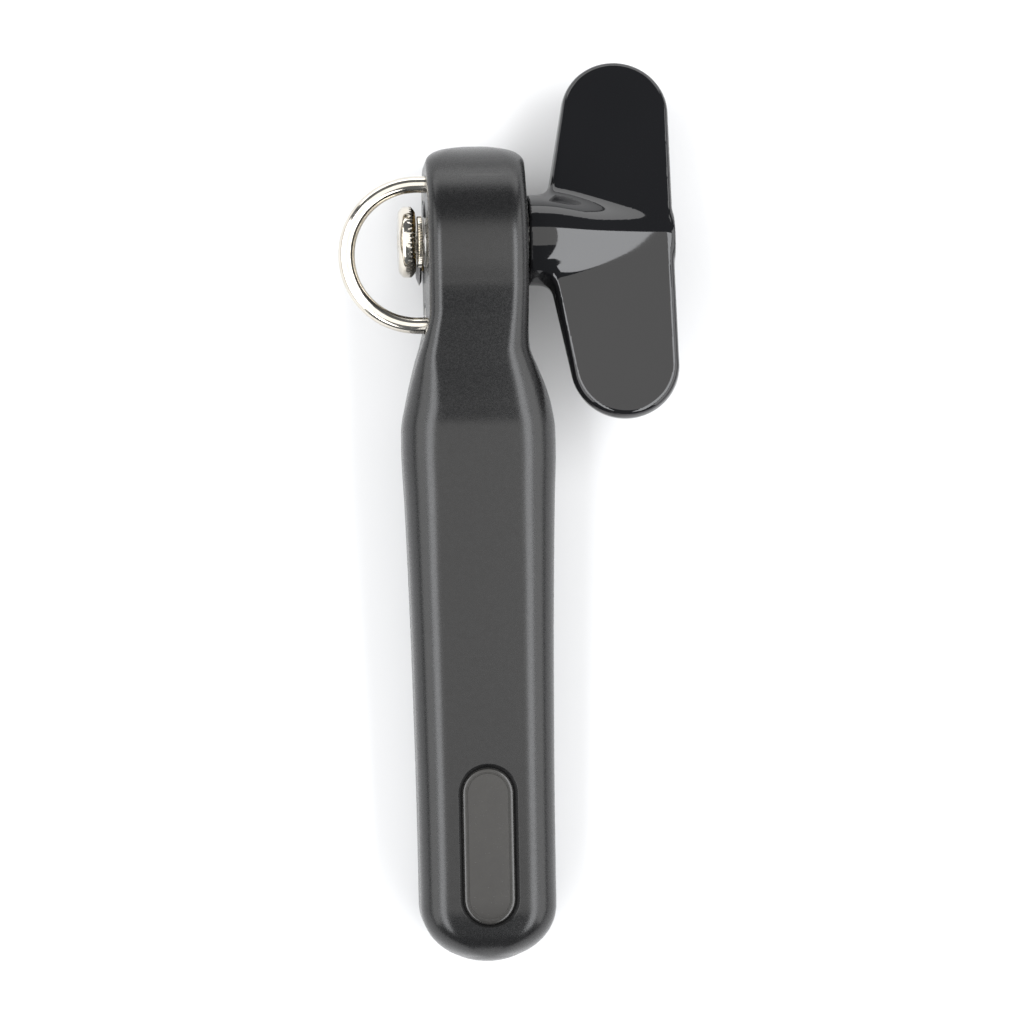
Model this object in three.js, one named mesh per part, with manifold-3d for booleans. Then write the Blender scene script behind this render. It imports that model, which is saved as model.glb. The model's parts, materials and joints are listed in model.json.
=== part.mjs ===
// A manual can opener with one handle: a turning key on the right of the head drives a knurled wheel
// on its left, beside a free cutter wheel and a wire guide loop. Millimetres.
//
// The opener is drawn upright in its own group: +Y runs up the handle to the head, +X towards the key,
// +Z to the front, with y = 0 at the middle of the guide loop. That group is then laid on its back on
// the plane z = 0.
import * as THREE from 'three';
import { mergeVertices } from 'three/addons/utils/BufferGeometryUtils.js';
import { LoftGeometry } from 'three/addons/geometries/LoftGeometry.js';
import Module from 'manifold-3d';

// Casing
const HEAD_TOP = 24.2; // the head is half of an ellipse in side view, with its middle at y = 0
const HEAD_DEPTH = 20.8; // from the middle plane, as are all depths
const HEAD_HALF_WIDTH = 10.85;
const DRIVE_Y = 3.4;
const HANDLE_DEPTH = 12.4;
const TAIL_Y = -154.6;
const TAIL_ROUND = 12.8;
const TOP_ROUND = 5;
const WALL = 2.4;
const GAP = 0.3; // between pieces that meet
const SEAM = GAP / 2; // each shell stands back from the middle plane by this
const FAR = 60; // beyond the body on every side of the handle
const COVER_INSET = 2.6;
const COVER_BOTTOM = -18.5;
const COVER_BACK = -8.05; // x of the side cover's inner face

// Each row is [y, value]: the body's outline from the top down.
const RIGHT_WIDTH = [
  [-17, HEAD_HALF_WIDTH], [-20.5, 11.1], [-24.9, 12.9], [-29.3, 14.8], [-33.7, 16.1], [-38.2, 16.8],
  [-42.5, 16.85], [-53.5, 16.4], [-75.5, 15.7], [-97.5, 15.25], [-119.5, 14.95], [-141.8, 14.85],
];
const LEFT_WIDTH = [
  [-13, HEAD_HALF_WIDTH], [-18.3, 11.9], [-22.7, 13.3], [-31.5, 15.6], ...RIGHT_WIDTH.slice(5),
];
const NECK_DEPTH = [
  [0, HEAD_DEPTH], [-7, 19.95], [-14, 18.1], [-24, 15.6], [-33, 13.5], [-38, 12.6], [-43, HANDLE_DEPTH],
];
const RIGHT_CORNER = [
  [-8, 4.1], [-18, 5.0], [-26, 7.4], [-34, 8.8], [-44, 8.6], [-75, 7.6], [-141.8, 7.0],
];
const LEFT_CORNER = [
  [24, 3.4], [16, 3.2], [-15, 3.2], [-22, 4.2], [-29, 6.8], [-35, 8.2], [-44, 8.0], [-75, 7.0],
  [-141.8, 6.5],
];

// Drive: the shaft sits off centre in a sleeve, which swings to bring the feed wheel to the cutter.
// A from and a to are the ends of a piece along X.
const THROW = 1.6;
const REST_ANGLE = THREE.MathUtils.degToRad(135); // of the shaft about the sleeve's centre, from +Y to +Z
const SLEEVE = {
  y: DRIVE_Y - THROW * Math.cos(REST_ANGLE), z: -THROW * Math.sin(REST_ANGLE), radius: 6.5,
  from: -10.3, to: 10.7, swing: THREE.MathUtils.degToRad(90),
};
const SLEEVE_FLANGE = { radius: 9.9, from: -4.9, to: -2.9 };
const BUSH = { radius: 7.6, from: -7.75, to: -5.9 };
const STOP_PIN = { radius: 1.1, reach: 9.8, angle: THREE.MathUtils.degToRad(60), from: -7.7, to: -2.6 };
const WAVE = { radius: 8.4, thickness: 0.5, x: 5.3, height: 0.35, waves: 3 };
const BEZEL = { radius: 9.6, rim: 11.5, from: 6.2, rimFrom: 10.25, rimTo: 11.25 };
const SHAFT = { radius: 3, stub: 2, left: -16.2, shoulder: -11.15, right: 29, tap: 1.7, tapFrom: 20 };
const FEED = { radius: 5.65, teeth: 53, toothDepth: 0.35, from: -12.65, to: -11.42 };
const FLANGE = { radius: 7.8, teeth: 45, toothDepth: 0.35, rimFrom: -15.8, rimTo: -13.85, to: -12.95 };
const HUB_WASHER = { radius: 5.4, from: -11.1, to: -10.6 };
const KNOB_WASHER = { radius: 6.4, from: 11.6, to: 12.2 };

// Left side
const BEARING_PLATE = { inset: 4.3, from: -7.6, to: -6.2 };
const RETAINER = { radius: 3.4, from: -6, to: -5.2 };
const COVER_BORE_RADIUS = 7.8;
const LOOP = { radius: 15.4, wire: 1.8, z: 6, straight: 2, end: -4.6 };

// Cutter: its wheel turns on a bush on a shouldered axle.
const CUTTER = { y: 0.85, z: -13.93, radius: 6, bore: 3, edge: -11.75, left: -12.4, right: -11.2 };
const AXLE = { radius: 1.6, head: 3.6, left: -14, headTo: -12.75, right: -4.9 };
const CUTTER_BUSH = { radius: 2.7, bore: 1.85, from: -12.45, to: -8.6 };

// Key
const KEY = {
  turn: THREE.MathUtils.degToRad(-10), tip: 41, tipRadius: 12, outer: 44.1, thickness: 6, bevel: 0.9,
  bossRadius: 10, bossStart: 11.6, bossEnd: 16.6, innerY: 9, boreEnd: 29.4,
};
const KEY_SPINE = [[8.6, 21], [7.2, 27], [5.6, 35], [4.2, KEY.outer]]; // rows of [radius, x]

// Badge
const BADGE = { y: -128.8, width: 11, length: 33.7, chamfer: 1, top: 11.4, bottom: 10.7 };
const BADGE_SEAT = { margin: 5, back: 8.6 };

// Screws: the shell screws run along Z from the back, the plate screws along X from the left.
const SHELL_SCREW = { head: 2.6, headHeight: 1.9, shank: 1.1, tip: 6.9, well: 3, wellDepth: 4.5 };
const SHELL_POST = { pilot: 1.4, pilotEnd: 7.8, front: 2.8, back: 4.4 };
const SHELL_SCREWS = [
  { name: 'head_screw', x: 3, y: 18.6 },
  { name: 'neck_screw', x: 0, y: -26 },
  { name: 'upper_handle_screw', x: 0, y: -62 },
  { name: 'lower_handle_screw', x: 0, y: -102 },
];
const PLATE_SCREW = {
  head: 2.5, headHeight: 0.9, shank: 1.1, length: 7.4, hole: 1.5, sink: 2.9, sinkDepth: 1.2,
};
const PLATE_POST = { radius: 2.6, from: -6, pilot: 1.35, pilotEnd: -1.5 };
const PLATE_SCREWS = [
  { name: 'upper_plate_screw', y: 15.2, z: -8.2 },
  { name: 'lower_plate_screw', y: -12.5, z: -7 },
];
const KEY_SCREW = { head: 2.6, headHeight: 1.8, shank: 1.2, length: 19, x: 40.9, well: 3, hole: 1.8 };

const wasm = await Module();
wasm.setup();

// ---- Solids ----

function solid(geometry) {
  const bare = new THREE.BufferGeometry();
  bare.setAttribute('position', geometry.getAttribute('position'));
  bare.setIndex(geometry.index);
  const merged = mergeVertices(bare, 1e-4);
  return new wasm.Manifold(new wasm.Mesh({
    numProp: 3,
    vertProperties: merged.attributes.position.array,
    triVerts: new Uint32Array(merged.index.array),
  }));
}

function geometryOf(body) {
  const { vertProperties, triVerts } = body.getMesh();
  const geometry = new THREE.BufferGeometry();
  geometry.setAttribute('position', new THREE.BufferAttribute(vertProperties, 3));
  geometry.setIndex(new THREE.BufferAttribute(triVerts, 1));
  return geometry;
}

const AXES = {
  x: new THREE.Matrix4().makeBasis(
    new THREE.Vector3(0, 1, 0), new THREE.Vector3(0, 0, 1), new THREE.Vector3(1, 0, 0)),
  z: new THREE.Matrix4(),
};

// A flat outline drawn in (y, z) and pulled along X, or drawn in (x, y) and pulled along Z.
function prism(outline, axis, from, to, options = {}) {
  const geometry = new THREE.ExtrudeGeometry(outline, {
    depth: to - from, bevelEnabled: false, curveSegments: 10, ...options,
  });
  geometry.translate(0, 0, from);
  return solid(geometry.applyMatrix4(AXES[axis]));
}

function rodX(radius, from, to, y, z, segments = 32) {
  const geometry = new THREE.CylinderGeometry(radius, radius, to - from, segments);
  return solid(geometry.rotateZ(-Math.PI / 2).translate((from + to) / 2, y, z));
}

function rodZ(radius, from, to, x, y, segments = 14) {
  const geometry = new THREE.CylinderGeometry(radius, radius, to - from, segments);
  return solid(geometry.rotateX(Math.PI / 2).translate(x, y, (from + to) / 2));
}

const ringX = (inner, outer, from, to, y, z, segments = 32) =>
  rodX(outer, from, to, y, z, segments).subtract(rodX(inner, from - 1, to + 1, y, z, segments));

// Rows of [radius, x], turned about the line through (y, z) along X.
function turned(profile, y, z, segments = 32) {
  const points = profile.map(([radius, x]) => new THREE.Vector2(radius, x));
  return solid(new THREE.LatheGeometry(points, segments).rotateZ(-Math.PI / 2).translate(0, y, z));
}

function toothedOutline(teeth, tip, root, y, z) {
  const outline = new THREE.Shape();
  for (let i = 0; i < teeth * 2; i++) {
    const angle = (i / teeth) * Math.PI;
    const radius = i % 2 ? root : tip;
    outline[i ? 'lineTo' : 'moveTo'](y + radius * Math.cos(angle), z + radius * Math.sin(angle));
  }
  return outline.closePath();
}

// ---- Body outline ----

// Smooth, monotone curve through rows of [y, value] that run downwards, level past both ends.
function along(rows, y) {
  if (y >= rows[0][0]) return rows[0][1];
  const last = rows.length - 1;
  if (y <= rows[last][0]) return rows[last][1];
  const i = rows.findIndex((row) => y > row[0]) - 1;
  const slope = (j) => (rows[j + 1][1] - rows[j][1]) / (rows[j + 1][0] - rows[j][0]);
  const tangent = (j) => {
    if (j === 0 || j === last) return 0;
    const [a, b] = [slope(j - 1), slope(j)];
    return a * b <= 0 ? 0 : (2 * a * b) / (a + b);
  };
  const step = rows[i + 1][0] - rows[i][0];
  const t = (y - rows[i][0]) / step;
  return rows[i][1] * (2 * t ** 3 - 3 * t ** 2 + 1) + rows[i + 1][1] * (3 * t ** 2 - 2 * t ** 3)
    + step * (tangent(i) * (t ** 3 - 2 * t ** 2 + t) + tangent(i + 1) * (t ** 3 - t ** 2));
}

// 1 along the body, falling to 0 as a rounded end of this length and fullness is passed.
const rounding = (past, length, fullness) =>
  past <= 0 ? 1 : Math.max(0, 1 - Math.min(1, past / length) ** fullness) ** (1 / fullness);

const tailPast = (y) => TAIL_Y + TAIL_ROUND - y;

function halfDepth(y, inset = 0) {
  const level = y > 0 ? (HEAD_DEPTH - inset) * Math.sqrt(Math.max(0, 1 - (y / (HEAD_TOP - inset)) ** 2))
    : along(NECK_DEPTH, y) - inset;
  return level * rounding(tailPast(y), TAIL_ROUND - inset, 2.4);
}

function halfWidth(rows, y, inset) {
  const top = HEAD_TOP - TOP_ROUND;
  return (along(rows, y) - inset) * rounding(tailPast(y), TAIL_ROUND - inset, 2)
    * rounding(y - top, TOP_ROUND - inset, 2.5);
}

// The rounded rectangle that the body has at height y.
function section(y, inset, steps) {
  const depth = halfDepth(y, inset);
  const left = halfWidth(LEFT_WIDTH, y, inset);
  const right = halfWidth(RIGHT_WIDTH, y, inset);
  const limit = 0.98 * Math.min(depth, left, right);
  const leftCorner = Math.min(Math.max(along(LEFT_CORNER, y) - inset, 0.5), limit);
  const rightCorner = Math.min(Math.max(along(RIGHT_CORNER, y) - inset, 0.5), limit);
  const corners = [
    [-left + leftCorner, depth - leftCorner, leftCorner],
    [right - rightCorner, depth - rightCorner, rightCorner],
    [right - rightCorner, -depth + rightCorner, rightCorner],
    [-left + leftCorner, -depth + leftCorner, leftCorner],
  ];
  return corners.flatMap(([x, z, radius], corner) => Array.from({ length: steps + 1 }, (_, i) => {
    const angle = Math.PI - (corner + i / steps) * (Math.PI / 2);
    return new THREE.Vector3(x + radius * Math.cos(angle), y, z + radius * Math.sin(angle));
  }));
}

function bodySolid(inset, steps, detail) {
  const top = HEAD_TOP - inset;
  const bottom = TAIL_Y + inset;
  const tailTop = TAIL_Y + TAIL_ROUND;
  const heights = [];
  for (let i = 0; i < detail; i++) {
    heights.push(tailTop - (tailTop - bottom) * Math.cos((i / detail) * (Math.PI / 2)) * 0.9999);
  }
  for (const y of [tailTop, -119.5, -97.5, -75.5, -64, -53.5, -47]) heights.push(y);
  for (let y = -42.5; y < -1; y += 27 / detail) heights.push(y);
  for (let i = 0; i <= 1.5 * detail; i++) {
    heights.push(top * Math.sin((i / (1.5 * detail)) * (Math.PI / 2)) * 0.9999);
  }
  const sections = heights.map((y) => section(y, inset, steps));
  return solid(new LoftGeometry(sections, { capStart: true, capEnd: true }));
}

// The flat left side's own outline in (y, z), this far inside the body's outline.
function sideOutline(inset) {
  const outline = new THREE.Shape();
  const points = [];
  for (let y = COVER_BOTTOM + inset - COVER_INSET; y < -1; y += 2.5) {
    points.push([y, along(NECK_DEPTH, y) - inset]);
  }
  for (let i = 0; i <= 12; i++) {
    const angle = (i / 12) * (Math.PI / 2);
    points.push([(HEAD_TOP - inset) * Math.sin(angle), (HEAD_DEPTH - inset) * Math.cos(angle)]);
  }
  points.forEach(([y, z], i) => outline[i ? 'lineTo' : 'moveTo'](y, z));
  points.slice(0, -1).reverse().forEach(([y, z]) => outline.lineTo(y, -z));
  return outline.closePath();
}

// ---- Casing ----

const outerBody = bodySolid(0, 4, 8);
const halfSpace = (front) => rodZ(400, front ? SEAM : -FAR, front ? FAR : -SEAM, 0, 0, 6);
const sleeveRod = (radius, from, to) => rodX(radius, from, to, SLEEVE.y, SLEEVE.z);
const throughLeft = (radius, y, z, segments) => rodX(radius, -FAR, 0, y, z, segments);

function capsule(width, length, y) {
  const radius = width / 2;
  const reach = length / 2 - radius;
  const outline = new THREE.Shape();
  outline.absarc(0, y + reach, radius, 0, Math.PI);
  outline.absarc(0, y - reach, radius, Math.PI, 2 * Math.PI);
  return outline;
}

const wellFloor = (y) => -halfDepth(y) + SHELL_SCREW.wellDepth; // where a shell screw's head lands

function withPosts(hollow) {
  let body = hollow;
  for (const { x, y } of SHELL_SCREWS) {
    const post = rodZ(SHELL_POST.front, 0, FAR, x, y).add(rodZ(SHELL_POST.back, -FAR, 0, x, y));
    body = body.add(post.intersect(outerBody));
  }
  for (const { y, z } of PLATE_SCREWS) {
    body = body.add(rodX(PLATE_POST.radius, PLATE_POST.from, FAR, y, z, 20).intersect(outerBody));
  }
  const seat = capsule(BADGE.width + BADGE_SEAT.margin, BADGE.length + BADGE_SEAT.margin, BADGE.y);
  return body.add(prism(seat, 'z', BADGE_SEAT.back, BADGE.top));
}

function drilled(blank) {
  let body = blank;
  for (const { x, y } of SHELL_SCREWS) {
    body = body.subtract(rodZ(SHELL_POST.pilot, -FAR, SHELL_POST.pilotEnd, x, y));
    body = body.subtract(rodZ(SHELL_SCREW.well, -FAR, wellFloor(y), x, y));
  }
  for (const { y, z } of PLATE_SCREWS) {
    body = body.subtract(rodX(PLATE_POST.pilot, PLATE_POST.from - 1, PLATE_POST.pilotEnd, y, z, 16));
  }
  return body;
}

function casing() {
  const opening = prism(sideOutline(COVER_INSET - GAP), 'x', -FAR, COVER_BACK + GAP);
  const rimSeat = sleeveRod(BEZEL.rim + GAP, BEZEL.rimFrom - GAP, BEZEL.rimTo + 1);
  const bezelSeat = sleeveRod(BEZEL.radius + GAP, BEZEL.from - 1.2, BEZEL.rimTo + 1).add(rimSeat);
  return drilled(withPosts(outerBody.subtract(bodySolid(WALL, 2, 4)))).subtract(opening).subtract(bezelSeat);
}

function badgePocket() {
  const straight = capsule(BADGE.width + 2 * GAP, BADGE.length + 2 * GAP, BADGE.y);
  const flared = prism(straight, 'z', BADGE.top, BADGE.top + 10, {
    bevelEnabled: true, bevelThickness: BADGE.chamfer, bevelSize: BADGE.chamfer, bevelSegments: 1,
  });
  return prism(straight, 'z', BADGE.bottom - GAP, FAR).add(flared.translate([0, 0, BADGE.chamfer]));
}

const bothShells = casing();
const frontShell = () => bothShells.intersect(halfSpace(true)).subtract(badgePocket());
const backShell = () => bothShells.intersect(halfSpace(false));

// Holes for the loop's legs and the plate screws, through the cover and the bearing plate alike.
function withPlateHoles(blank) {
  let plate = blank;
  for (const y of [LOOP.radius, -LOOP.radius]) {
    plate = plate.subtract(throughLeft(LOOP.wire + GAP, y, LOOP.z, 20));
  }
  for (const { y, z } of PLATE_SCREWS) {
    plate = plate.subtract(throughLeft(PLATE_SCREW.hole, y, z, 16));
  }
  return plate;
}

function sideCover() {
  let cover = withPlateHoles(outerBody.intersect(prism(sideOutline(COVER_INSET), 'x', -FAR, COVER_BACK)));
  cover = cover.subtract(sleeveRod(COVER_BORE_RADIUS, -FAR, 0));
  cover = cover.subtract(throughLeft(CUTTER_BUSH.radius + 0.5, CUTTER.y, CUTTER.z, 24));
  for (const { y, z } of PLATE_SCREWS) {
    cover = cover.subtract(rodX(PLATE_SCREW.sink, -FAR, PLATE_SCREW.sinkDepth - HEAD_HALF_WIDTH, y, z, 20));
  }
  return cover;
}

const badgePlate = () => prism(capsule(BADGE.width, BADGE.length, BADGE.y), 'z', BADGE.bottom, BADGE.top);

const knobBezel = () => sleeveRod(BEZEL.radius, BEZEL.from, BEZEL.rimFrom + 0.5)
  .add(sleeveRod(BEZEL.rim, BEZEL.rimFrom, BEZEL.rimTo))
  .subtract(sleeveRod(SLEEVE.radius + GAP, 0, FAR));

// ---- Left side ----

function bearingPlate() {
  const { inset, from, to } = BEARING_PLATE;
  return withPlateHoles(prism(sideOutline(inset), 'x', from, to))
    .subtract(sleeveRod(BUSH.radius + GAP, -FAR, 0))
    .subtract(throughLeft(AXLE.radius + GAP, CUTTER.y, CUTTER.z, 20))
    .subtract(pinRod(STOP_PIN.radius + GAP, -FAR, 0));
}

function guideLoop() {
  const bendX = -HEAD_HALF_WIDTH - LOOP.straight;
  const stations = [LOOP.end, bendX].map((x) => ({ x, y: LOOP.radius, turn: 0 }));
  const bends = 16;
  for (let i = 1; i < bends; i++) {
    const turn = (i / bends) * Math.PI;
    stations.push({ x: bendX - LOOP.radius * Math.sin(turn), y: LOOP.radius * Math.cos(turn), turn });
  }
  for (const x of [bendX, LOOP.end]) stations.push({ x, y: -LOOP.radius, turn: Math.PI });
  const sides = 10;
  const sections = stations.map(({ x, y, turn }) => Array.from({ length: sides }, (_, i) => {
    const angle = (i / sides) * 2 * Math.PI;
    const out = LOOP.wire * Math.cos(angle);
    return new THREE.Vector3(
      x - out * Math.sin(turn), y + out * Math.cos(turn), LOOP.z - LOOP.wire * Math.sin(angle));
  }));
  return solid(new LoftGeometry(sections, { capStart: true, capEnd: true }));
}

const retainer = (bore, y, z) => ringX(bore, RETAINER.radius, RETAINER.from, RETAINER.to, y, z, 20);
const loopRetainer = (side) => retainer(LOOP.wire + GAP, side * LOOP.radius, LOOP.z);

function pinRod(radius, from, to) {
  const y = SLEEVE.y + STOP_PIN.reach * Math.cos(STOP_PIN.angle);
  const z = SLEEVE.z + STOP_PIN.reach * Math.sin(STOP_PIN.angle);
  return rodX(radius, from, to, y, z, 16);
}

const stopPin = () => pinRod(STOP_PIN.radius, STOP_PIN.from, STOP_PIN.to);

const sleeveBush = () => sleeveRod(BUSH.radius, BUSH.from, BUSH.to)
  .subtract(sleeveRod(SLEEVE.radius + GAP, -FAR, 0));

// ---- Cutter ----

const cutterAt = (profile, segments) => turned(profile, CUTTER.y, CUTTER.z, segments);

const cutterWheel = () => cutterAt([
  [CUTTER.bore, CUTTER.left], [4.6, CUTTER.left], [CUTTER.radius, CUTTER.edge], [5.1, CUTTER.right],
  [CUTTER.bore, CUTTER.right], [CUTTER.bore, CUTTER.left],
], 28);

const cutterBush = () =>
  ringX(CUTTER_BUSH.bore, CUTTER_BUSH.radius, CUTTER_BUSH.from, CUTTER_BUSH.to, CUTTER.y, CUTTER.z, 24);

const cutterAxle = () => cutterAt([
  [0, AXLE.left], [2.6, AXLE.left], [AXLE.head, -13.4], [AXLE.head, AXLE.headTo], [AXLE.radius, AXLE.headTo],
  [AXLE.radius, AXLE.right], [0, AXLE.right],
], 24);

const cutterRetainer = () => retainer(AXLE.radius + GAP, CUTTER.y, CUTTER.z);

// ---- Sleeve and drive ----

function sleeveFlange() {
  const slack = Math.asin((STOP_PIN.radius + GAP) / STOP_PIN.reach);
  const { radius, from, to } = SLEEVE_FLANGE;
  const notch = new THREE.Shape();
  notch.absarc(SLEEVE.y, SLEEVE.z, 2 * radius, STOP_PIN.angle - SLEEVE.swing - slack, STOP_PIN.angle + slack);
  notch.lineTo(SLEEVE.y, SLEEVE.z);
  notch.closePath();
  return sleeveRod(radius, from, to).subtract(prism(notch, 'x', from - 1, to + 1));
}

const eccentricSleeve = () => sleeveRod(SLEEVE.radius, SLEEVE.from, SLEEVE.to).add(sleeveFlange())
  .subtract(rodX(SHAFT.radius + GAP, -FAR, FAR, DRIVE_Y, 0));

function waveWasher() {
  const half = WAVE.thickness / 2;
  const ring = ringX(SLEEVE.radius + GAP, WAVE.radius, -half, half, SLEEVE.y, SLEEVE.z, 36);
  return ring.warp((point) => {
    const angle = Math.atan2(point[2] - SLEEVE.z, point[1] - SLEEVE.y);
    point[0] += WAVE.x + WAVE.height * Math.cos(WAVE.waves * angle);
  });
}

const driveAt = (profile, segments) => turned(profile, DRIVE_Y, 0, segments);

const driveShaft = () => driveAt([
  [0, SHAFT.left], [SHAFT.stub, SHAFT.left], [SHAFT.stub, SHAFT.shoulder], [SHAFT.radius, SHAFT.shoulder],
  [SHAFT.radius, SHAFT.right], [SHAFT.tap, SHAFT.right], [SHAFT.tap, SHAFT.tapFrom], [0, SHAFT.tapFrom],
], 28);

const stubBore = () => rodX(SHAFT.stub + GAP, -FAR, 0, DRIVE_Y, 0, 28);

function feedWheel() {
  const outline = toothedOutline(FEED.teeth, FEED.radius, FEED.radius - FEED.toothDepth, DRIVE_Y, 0);
  return prism(outline, 'x', FEED.from, FEED.to).subtract(stubBore());
}

// The teeth are cut only on the flange's inner bevel.
function feedFlange() {
  const { radius, teeth, toothDepth, rimFrom, rimTo, to } = FLANGE;
  const blank = driveAt([
    [0, -16.75], [6.9, -16.6], [radius, rimFrom], [radius, rimTo], [6.4, to], [0, to],
  ], 36);
  const outline = toothedOutline(teeth, radius + 0.2, radius - toothDepth, DRIVE_Y, 0);
  const toothed = prism(outline, 'x', rimTo - 0.15, to + 1);
  const plain = rodX(radius + 1, -FAR, rimTo - 0.05, DRIVE_Y, 0);
  return blank.intersect(toothed.add(plain)).subtract(stubBore());
}

const washer = ({ radius, from, to }) => ringX(SHAFT.radius + GAP, radius, from, to, DRIVE_Y, 0, 28);

// The key is drawn about the X axis with its wings in the XY plane.
function keyOutline() {
  const outline = new THREE.Shape();
  const centre = KEY.outer - KEY.tipRadius;
  const reach = KEY.tip - KEY.tipRadius;
  const root = KEY.bossEnd - 0.2;
  outline.moveTo(root, -KEY.innerY);
  outline.lineTo(centre - KEY.tipRadius, -reach);
  outline.absarc(centre, -reach, KEY.tipRadius, Math.PI, 2 * Math.PI);
  outline.absarc(centre, reach, KEY.tipRadius, 0, Math.PI);
  outline.lineTo(root, KEY.innerY);
  return outline.closePath();
}

function knob() {
  const { bevel, thickness, bossRadius, bossStart, bossEnd, outer, boreEnd } = KEY;
  const wings = prism(keyOutline(), 'z', bevel - thickness / 2, thickness / 2 - bevel, {
    bevelEnabled: true, bevelThickness: bevel, bevelSize: bevel, bevelOffset: -bevel, bevelSegments: 1,
  });
  const spine = turned([
    [0, bossStart], [bossRadius, bossStart], [bossRadius, bossEnd], ...KEY_SPINE, [0, outer],
  ], 0, 0, 24);
  return wings.add(spine)
    .subtract(rodX(SHAFT.radius + GAP, 0, boreEnd, 0, 0, 28))
    .subtract(rodX(KNOB_WASHER.radius + 0.5, 0, KNOB_WASHER.to + 0.4, 0, 0, 28))
    .subtract(rodX(KEY_SCREW.hole, SHAFT.tapFrom, FAR, 0, 0, 16))
    .subtract(rodX(KEY_SCREW.well, KEY_SCREW.x - GAP, FAR, 0, 0, 20));
}

// ---- Screws ----

// A screw along +Z: the underside of its head is at z = 0 and its shank runs to z = length.
function screwSolid({ head, headHeight, shank }, length) {
  const points = [
    [0, -headHeight], [head * 0.7, -headHeight], [head, -headHeight * 0.6], [head, 0],
    [shank, 0], [shank, length - 1], [shank * 0.5, length], [0, length],
  ].map(([radius, height]) => new THREE.Vector2(radius, height));
  const blank = solid(new THREE.LatheGeometry(points, 12).rotateX(Math.PI / 2));
  const slot = (angle) => solid(new THREE.BoxGeometry(head * 1.3, head * 0.34, 1.4)
    .rotateZ(angle).translate(0, 0, -headHeight));
  return blank.subtract(slot(0).add(slot(Math.PI / 2)));
}

// ---- Assembly ----

const plastic = (color, roughness) => new THREE.MeshStandardMaterial({ color, roughness, metalness: 0 });
const metal = (color, roughness) => new THREE.MeshStandardMaterial({ color, roughness, metalness: 1 });
const looks = {
  satinCharcoal: plastic(0x3a3a3c, 0.5),
  blackGloss: plastic(0x141416, 0.12),
  badgeGrey: plastic(0x403f3d, 0.25),
  nylon: plastic(0xd9d6cc, 0.55),
  polished: metal(0xd8d2c6, 0.1),
  steel: metal(0xa8a7a4, 0.35),
  hardened: metal(0x4c4c4e, 0.3),
  brass: metal(0xb89a55, 0.35),
};

const upright = new THREE.Group();

function add(name, body, look, parent = upright) {
  const mesh = new THREE.Mesh(geometryOf(body), look);
  mesh.name = name;
  parent.add(mesh);
  return mesh;
}

add('front_shell', frontShell(), looks.satinCharcoal);
add('back_shell', backShell(), looks.satinCharcoal);
add('side_cover', sideCover(), looks.satinCharcoal);
add('badge_plate', badgePlate(), looks.badgeGrey);
add('knob_bezel', knobBezel(), looks.blackGloss);
add('bearing_plate', bearingPlate(), looks.steel);
add('guide_loop', guideLoop(), looks.polished);
add('upper_loop_retainer', loopRetainer(1), looks.steel);
add('lower_loop_retainer', loopRetainer(-1), looks.steel);
add('stop_pin', stopPin(), looks.steel);
add('sleeve_bush', sleeveBush(), looks.brass);
add('cutter_wheel', cutterWheel(), looks.hardened);
add('cutter_bush', cutterBush(), looks.brass);
add('cutter_axle', cutterAxle(), looks.steel);
add('cutter_retainer', cutterRetainer(), looks.steel);
add('eccentric_sleeve', eccentricSleeve(), looks.steel);
add('wave_washer', waveWasher(), looks.steel);
add('drive_shaft', driveShaft(), looks.steel);
add('feed_wheel', feedWheel(), looks.polished);
add('feed_flange', feedFlange(), looks.polished);
add('hub_washer', washer(HUB_WASHER), looks.steel);
add('knob_washer', washer(KNOB_WASHER), looks.nylon);

// The opener rests on the head's back and on the end of the handle.
const tilt = Math.atan((HEAD_DEPTH - HANDLE_DEPTH) / -(TAIL_Y + TAIL_ROUND));

const key = new THREE.Group();
key.position.set(0, DRIVE_Y, 0);
key.rotation.x = KEY.turn - tilt;
upright.add(key);
add('knob', knob(), looks.blackGloss, key);

const keyScrew = add('knob_screw', screwSolid(KEY_SCREW, KEY_SCREW.length), looks.steel, key);
keyScrew.rotation.y = -Math.PI / 2;
keyScrew.position.x = KEY_SCREW.x;

for (const { name, x, y } of SHELL_SCREWS) {
  const seat = wellFloor(y) - GAP;
  const screw = add(name, screwSolid(SHELL_SCREW, SHELL_SCREW.tip - seat), looks.steel);
  screw.position.set(x, y, seat);
}

for (const { name, y, z } of PLATE_SCREWS) {
  const screw = add(name, screwSolid(PLATE_SCREW, PLATE_SCREW.length), looks.steel);
  screw.rotation.y = Math.PI / 2;
  screw.position.set(PLATE_SCREW.headHeight - HEAD_HALF_WIDTH, y, z);
}

// Laid down: turned about X, then moved so that the origin is under the middle of its box.
upright.rotation.x = tilt;
const canOpener = new THREE.Group();
canOpener.add(upright);
const box = new THREE.Box3().setFromObject(canOpener, true);
upright.position.set(-(box.min.x + box.max.x) / 2, -(box.min.y + box.max.y) / 2, -box.min.z);

export default canOpener;
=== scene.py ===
"""Looks of the manual can opener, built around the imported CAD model.

Shapes are drawn upright in millimetres, as the part's own source draws them: +Y up the handle, +X towards the key,
+Z to the front, y = 0 at the middle of the guide loop. `placed` lays them down in the frame, in metres.
"""

import json
import math

import bmesh
import bpy
import numpy as np
from mathutils import Matrix, Vector


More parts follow.
